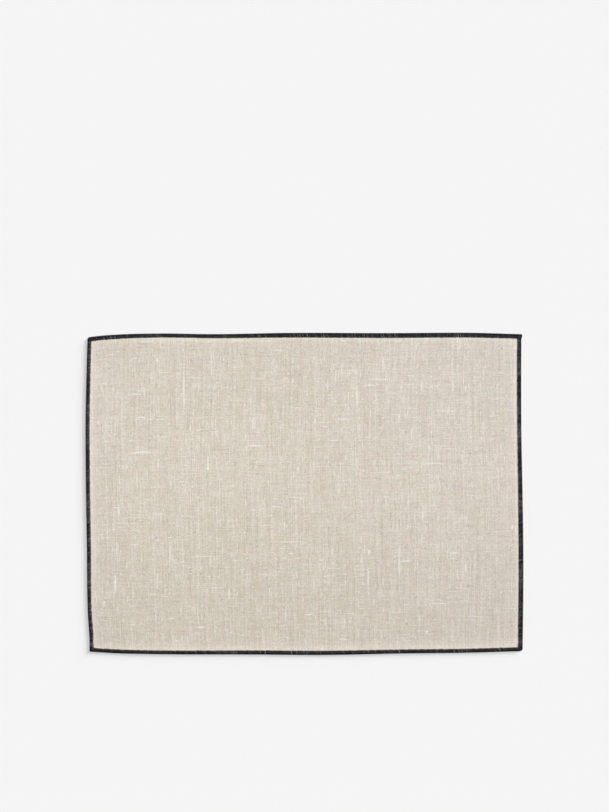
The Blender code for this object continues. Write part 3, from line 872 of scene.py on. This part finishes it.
# How worn the legs look, from 0 for new to 1 for covered in lint: mostly, by how much it drifts
# along the run, and by how much it rises in the middle of each bunch.
WEAR = {
    "top": (0.25, 0.27, 0.05),
    "bottom": (0.17, 0.28, 0.06),
    "left": (0.25, 0.48, 0.95),
    "right": (0.19, 0.46, 0.85),
}
WEAR_SCATTER = 0.15
WEAR_LENGTHS = (3.3 * MM, 4.1 * MM, 6.3 * MM, 8.9 * MM)  # of the drift


def lengths_along(line):
    """How far along a line each of its points is."""
    return np.concatenate([[0], np.cumsum(np.linalg.norm(np.diff(line, axis=0), axis=1))])


def at_place(place, line, at):
    """The points at the places `at` along a line whose own points are at `place`."""
    return as_rows(*(np.interp(at, place, values) for values in line.T))


def square_to(directions, steps):
    """The level direction a quarter turn to the left of each of these, once for every step."""
    turned = as_rows(-directions[:, 1], directions[:, 0], 0.0)
    return np.broadcast_to(turned[:, None], (len(directions), steps, 3))


def in_tone_rows(bundle, tone_row, u_reach=1.0):
    """Adds a map to strands: u runs along each from 0 to u_reach, v round it in its row of tones."""
    points, faces, shares = bundle
    corner = as_rows(0.0, (tone_row + ROW_MARGIN) / TONES)
    return points, faces, laid_out(shares, corner, (u_reach, (1 - 2 * ROW_MARGIN) / TONES))


def rounded(before, corner, after, steps=24):
    """A round corner: the conic from one point to another, drawn towards the corner."""
    t = np.linspace(0, 1, steps)[:, None]
    weight = np.sqrt(0.5)
    top = (1 - t) ** 2 * before + 2 * weight * t * (1 - t) * corner + t**2 * after
    return top / ((1 - t) ** 2 + 2 * weight * t * (1 - t) + t**2)


def fanned_feet(place, rim, pivots):
    """For each point of a long run's rim, the X of its leg's foot: straight across in the middle.
    Near an end the feet crowd round the inner corner, by a power of the way along, and the legs fan
    out from there."""
    foot_x = rim[:, 0].copy()
    for short_side, from_end in (("left", place), ("right", place[-1] - place)):
        out_x, pivot_x = OUTWARD[short_side], pivots[short_side]
        beside = np.argsort(rim[:, 0] * -out_x)
        at_pivot = np.interp(pivot_x * -out_x, rim[beside, 0] * -out_x, from_end[beside])
        fan_end = at_pivot + FAN_TRAVEL - FAN_START
        share = np.clip(from_end / fan_end, 0, 1)
        travel = FAN_TRAVEL * share ** (fan_end / FAN_TRAVEL)
        fanned = pivot_x + out_x * (FAN_START - travel)
        foot_x = np.where(from_end < fan_end, fanned, foot_x)
    return foot_x


def long_run_lines(side):
    """The rim of a full-width run, from the inner edge at one short side, round both corners, to
    the inner edge at the other, with how far along it each of its points is, and the place at the
    needle line that a leg to each point comes from."""
    rim, pivots = [], {}
    out_y = OUTWARD[side]
    for short_side in ("left", "right"):
        out_x = OUTWARD[short_side]
        radius, past = CORNERS[side, short_side]
        corner_x = CORNER_AT[side, short_side][0] + out_x * past
        corner_y = float(OUTER[side](corner_x))
        pivots[short_side] = crossing(INNER[side], INNER[short_side], corner_x)[0]
        low_y = crossing(INNER[side], OUTER[short_side], corner_x)[1] + out_y * END_GAP
        upright_y = np.linspace(low_y, corner_y - out_y * radius, END_STEPS)
        rising = soft_step(np.linspace(0, 1, END_STEPS), 0, PROUD_WHOLE)
        proud = past * (PROUD_LEAST + (1 - PROUD_LEAST) * rising)
        upright = as_rows(OUTER[short_side](upright_y) + out_x * proud, upright_y)
        level_x = corner_x - out_x * radius
        level = np.array([level_x, float(OUTER[side](level_x))])
        bend = rounded(upright[-1], np.array([corner_x, corner_y]), level)
        rim.append(np.concatenate([upright[:-1], bend]))
    left_end, right_end = rim
    middle_x = np.arange(left_end[-1, 0] + DENSE_STEP, right_end[-1, 0], 2 * DENSE_STEP)
    middle = as_rows(middle_x, OUTER[side](middle_x))
    rim = np.concatenate([left_end, middle, right_end[::-1]])
    place = lengths_along(rim)
    foot_x = fanned_feet(place, rim, pivots)
    foot_y = INNER[side](foot_x) + out_y * NEEDLE_INSET[side]
    return place, rim, as_rows(foot_x, foot_y)


def short_run_lines(side):
    """The same three of a run between the two long ones, which has no corners."""
    rim_y, foot_y = [], []
    for long_side in ("bottom", "top"):
        inwards = -OUTWARD[long_side] * SHORT_RUN_GAP
        rim_y.append(crossing(INNER[long_side], OUTER[side], OUTER[side](0.0))[1] + inwards)
        foot_y.append(crossing(INNER[long_side], INNER[side], INNER[side](0.0))[1] + inwards)
    steps = int((rim_y[1] - rim_y[0]) / DENSE_STEP)
    rim_y, foot_y = np.linspace(*rim_y, steps), np.linspace(*foot_y, steps)
    rim = as_rows(OUTER[side](rim_y), rim_y)
    foot_x = INNER[side](foot_y) + OUTWARD[side] * NEEDLE_INSET[side]
    return lengths_along(rim), rim, as_rows(foot_x, foot_y)


def leg_ends(side, lines, chance):
    """Where each looper leg of a run is along the rim, how strongly it is bunched and where in its
    bunch it is, and its ends at the needle line and at the rim. The legs start evenly spaced, are
    drawn into bunches by a sine, lean by the slant, and stand square at the run's ends."""
    place, rim, foot = lines
    count = int(place[-1] / LEG_PITCH) + 1
    at = np.linspace(0, place[-1], count)
    from_ends = np.minimum(at, place[-1] - at)
    fade = soft_step(from_ends, 0, SLANT_FADE)
    spread = np.where(np.arange(count) % 2 == 0, LEG_SPREAD, -LEG_SPREAD)
    jitter = chance.normal(0, LEG_JITTER, (2, count)) * soft_step(from_ends, 0, LEG_PITCH)
    bunched = BUNCH_MEAN + BUNCH_SWING * waves(at, BUNCH_FADE_LENGTHS, seed=36)
    bunched = np.clip(bunched, 0, BUNCH_MOST)
    in_bunch = 2 * np.pi * at / BUNCH_PITCH[side] + waves(at, BUNCH_DRIFT_LENGTHS, seed=37)
    at = at + fade * BUNCH_SHIFT * bunched * np.sin(in_bunch)
    shift = SEWN_TOWARDS[side] * fade * (LEG_SLANT + spread) / 2
    inner = at_place(place, foot, at - shift + jitter[1])
    return at, bunched, in_bunch, inner, at_place(place, rim, at + shift + jitter[0])


def leg_paths(at, inner, outer, layer, chance):
    """The path of each leg, and the level direction across it. It rises from the cloth just past the
    needle line to the run's flat top, which has a slight crown, and then follows an ellipse round
    the rim to just past its middle height. The lower legs are the same, turned over."""
    steps_flat, steps_nose, _ = LEG_STEPS[layer]
    reach = np.linalg.norm(outer - inner, axis=1)
    outward = unit(outer - inner)
    share = np.linspace(0, 1, steps_flat, endpoint=False)
    ragged = chance.normal(0, FOOT_SCATTER, len(at))
    ragged = ragged + FOOT_DRIFT * waves(at, FOOT_DRIFT_LENGTHS, seed=31)
    start = reach + FOOT_PAST_NEEDLE + ragged
    flat_depth = start[:, None] + (NOSE_REACH - start)[:, None] * share
    rise = soft_step(share, 0, RISE_END)
    crown = EDGE_CROWN * np.sin(np.pi * share)
    lift = chance.normal(0, LIFT_SCATTER, len(at))[:, None]
    flat_top = EDGE_TOP - THREAD_HALF_HEIGHT
    foot_height = CLOTH_LIFT + CLOTH_THICKNESS - FOOT_DIP
    flat_height = foot_height + (flat_top - foot_height) * rise + crown + lift * rise

    angle = np.linspace(np.pi / 2, NOSE_END, steps_nose)
    nose_depth = NOSE_REACH - (NOSE_REACH - THREAD_HALF_HEIGHT) * np.cos(angle)
    nose_depth = np.broadcast_to(nose_depth, (len(at), steps_nose))
    nose_height = NOSE_HEIGHT + (flat_top - NOSE_HEIGHT + lift) * np.sin(angle)
    depth = np.concatenate([flat_depth, nose_depth], axis=1)
    height = np.concatenate([flat_height, nose_height], axis=1)
    if layer == "lower":
        height = np.maximum(2 * NOSE_HEIGHT - height, THREAD_HALF_HEIGHT + CLEAR_OF_GROUND)
    level = outer[:, None] - outward[:, None] * depth[..., None]
    path = np.concatenate([level, height[..., None]], axis=-1)
    return path, square_to(outward, steps_flat + steps_nose)


def looper_legs(side, lines, layer, chance):
    """All legs of looper thread over or under the cloth: flattened strands, narrower at their feet
    and most where those crowd, each in a row of tones by how worn it is."""
    at, bunched, in_bunch, inner, outer = leg_ends(side, lines, chance)
    path, aside = leg_paths(at, inner, outer, layer, chance)
    along = np.linspace(0, 1, path.shape[1])
    taper = FOOT_WIDTH + (1 - FOOT_WIDTH) * soft_step(along, 0, FOOT_END)
    thin = np.where(chance.uniform(0, 1, len(at)) < THIN_LEGS, THIN_WIDTH, 1.0)
    width = THREAD_HALF_WIDTH * chance.normal(1, WIDTH_SCATTER, len(at)) * thin
    crowd = np.linalg.norm(np.gradient(inner, axis=0), axis=1) / LEG_PITCH
    narrow = np.clip(crowd, CROWDED_LEAST, 1.0)[:, None]
    narrow = narrow + (1 - narrow) * soft_step(along, 0, CROWDED_END)
    half_width = width[:, None] * taper * narrow
    half_height = np.broadcast_to(THREAD_HALF_HEIGHT * taper, half_width.shape)
    mostly, drift, in_middle = WEAR[side]
    wear = mostly + drift * waves(at, WEAR_LENGTHS, seed=35)
    wear = wear + chance.normal(0, WEAR_SCATTER, len(at)) - in_middle * bunched * np.cos(in_bunch)
    tone_row = np.clip(np.round(wear * (TONES - 1)), 0, TONES - 1)
    sides = LEG_STEPS[layer][2]
    return in_tone_rows(strands(path, aside, half_width, half_height, sides), tone_row)


def purl(side, lines):
    """The chain of loops at the rim, where the two looper threads lock: a flattened coil with one
    turn for each pair of legs."""
    place, rim, foot = lines
    turns = int(place[-1] / (2 * LEG_PITCH))
    at = np.linspace(0, place[-1], turns * PURL_STEPS + 1)
    line = at_place(place, rim, at)
    inward = unit(at_place(place, foot, at) - line)
    angle = SEWN_TOWARDS[side] * np.pi * at / LEG_PITCH
    angle = (angle + PURL_WANDER * waves(at, PURL_WANDER_LENGTHS, seed=33))[:, None]
    in_radius, up_radius = PURL_RADIUS
    level = line + inward * (PURL_DEPTH - in_radius * np.cos(angle))
    path = np.concatenate([level, NOSE_HEIGHT + up_radius * np.sin(angle)], axis=1)
    aside = np.concatenate([inward * -np.cos(angle), np.sin(angle)], axis=1)
    half = PURL_HALF_WIDTH * (1 + PURL_SWELL * waves(at, PURL_SWELL_LENGTHS, seed=34))
    coil = strands(path[None], aside[None], half[None], half[None], PURL_SIDES)
    return in_tone_rows(coil, np.array([PURL_TONE]), place[-1] / (PURL_LEGS * LEG_PITCH))


def needle_stitches(lines, chance):
    """Short stitches of needle thread along the needle line. Each is an arch, a sine with a flat top,
    that dives into the cloth at both ends."""
    _, _, foot = lines
    place = lengths_along(foot)
    pitch = 2 * LEG_PITCH
    count = int(place[-1] / pitch)
    start = (place[-1] - count * pitch) / 2 + pitch * np.arange(count)
    share = np.linspace(0, 1, NEEDLE_STEPS)
    at = start[:, None] + pitch * (NEEDLE_GAP + (1 - 2 * NEEDLE_GAP) * share)
    level = at_place(place, foot, at)
    arch = np.clip(2 * np.sin(np.pi * share), 0, 1)
    height = CLOTH_LIFT + CLOTH_THICKNESS - NEEDLE_DIVE + (NEEDLE_RISE + NEEDLE_DIVE) * arch
    height = height + chance.normal(0, NEEDLE_SCATTER, count)[:, None]
    path = np.concatenate([level, height[..., None]], axis=-1)
    aside = square_to(unit(level[:, -1] - level[:, 0]), NEEDLE_STEPS)
    taper = NEEDLE_END_WIDTH + (1 - NEEDLE_END_WIDTH) * np.sin(np.pi * share)
    half = np.broadcast_to(NEEDLE_HALF_WIDTH * taper, height.shape)
    return in_tone_rows(strands(path, aside, half, half, NEEDLE_SIDES), np.full(count, NEEDLE_TONE))


THREAD_CHARCOAL = (0.0182, 0.0192, 0.0240, 1.0)
# The next colour is painted shade, which the legs are darkened to round the rim.
THREAD_RIM_SHADE = (0.0038, 0.0058, 0.0125, 1.0)
THREAD_FADED = (0.041, 0.036, 0.030, 1.0)
THREAD_LINT = (0.205, 0.200, 0.186, 1.0)

edging_thread, thread_u, thread_v = new_finish("edging_thread", "OFBake")
rows_v = worked("MULTIPLY", thread_v, float(TONES))
own_tone = worked("DIVIDE", worked("FLOOR", rows_v), float(TONES))
around = worked("FRACT", rows_v)
twist = worked("MULTIPLY", summed((thread_u, 7.0), (around, 3.0)), 2 * np.pi)
ply = worked("SINE", twist)
fuzz = mottle((thread_u, 26.0), (rows_v, 7.0), seed=0.0, detail=3.0)
lint = mottle((thread_u, 6.0), (rows_v, 1.7), seed=4.0)
lint = over_limit(lint, start=0.17, end=0.27)

# A leg is most faded at its foot. Round the rim it is painted darker, as painted shade, and holds
# the least lint there.
at_foot = over_limit(thread_u, start=0.40, end=0.0)
painted_rim_shade = over_limit(thread_u, start=0.32, end=0.60)
worn = worked("POWER", own_tone, 2.2)
worn = summed((worn, 0.75), (fuzz, 0.25), (lint, 0.35))
worn = worked("MULTIPLY", worn, worked("MULTIPLY_ADD", painted_rim_shade, -0.50, 1.0))
thread_colour = blended(at_foot, THREAD_CHARCOAL, THREAD_FADED)
thread_colour = blended(painted_rim_shade, thread_colour, THREAD_RIM_SHADE)
thread_colour = blended(worn, thread_colour, THREAD_LINT)
relief = summed((fuzz, 1.2), (ply, 1.0))
roughness = worked("MULTIPLY_ADD", fuzz, 0.3, 0.70)
put_on(edging_thread, thread_colour, roughness, relief, depth=0.05 * MM, gloss=0.06, sheen=0.02)

for side in ("top", "bottom", "left", "right"):
    lines = long_run_lines(side) if side in ("top", "bottom") else short_run_lines(side)
    chance = np.random.default_rng(RUN_SEEDS[side])
    threads = [
        looper_legs(side, lines, "upper", chance),
        looper_legs(side, lines, "lower", chance),
        purl(side, lines),
        needle_stitches(lines, chance),
    ]
    starts = np.cumsum([0] + [len(points) for points, _, _ in threads])
    run_points = np.concatenate([points for points, _, _ in threads])
    run_faces = [
        np.concatenate([faces[kind] + start for (_, faces, _), start in zip(threads, starts)])
        for kind in (0, 1)
    ]
    run_maps = {"OFBake": [np.concatenate([rows[kind] for _, _, rows in threads]) for kind in (0, 1)]}
    run = new_piece(f"overlock_{side}", run_points, run_faces, run_maps, edging_thread)
    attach(run, "root")
    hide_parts(f"edging_{side}")
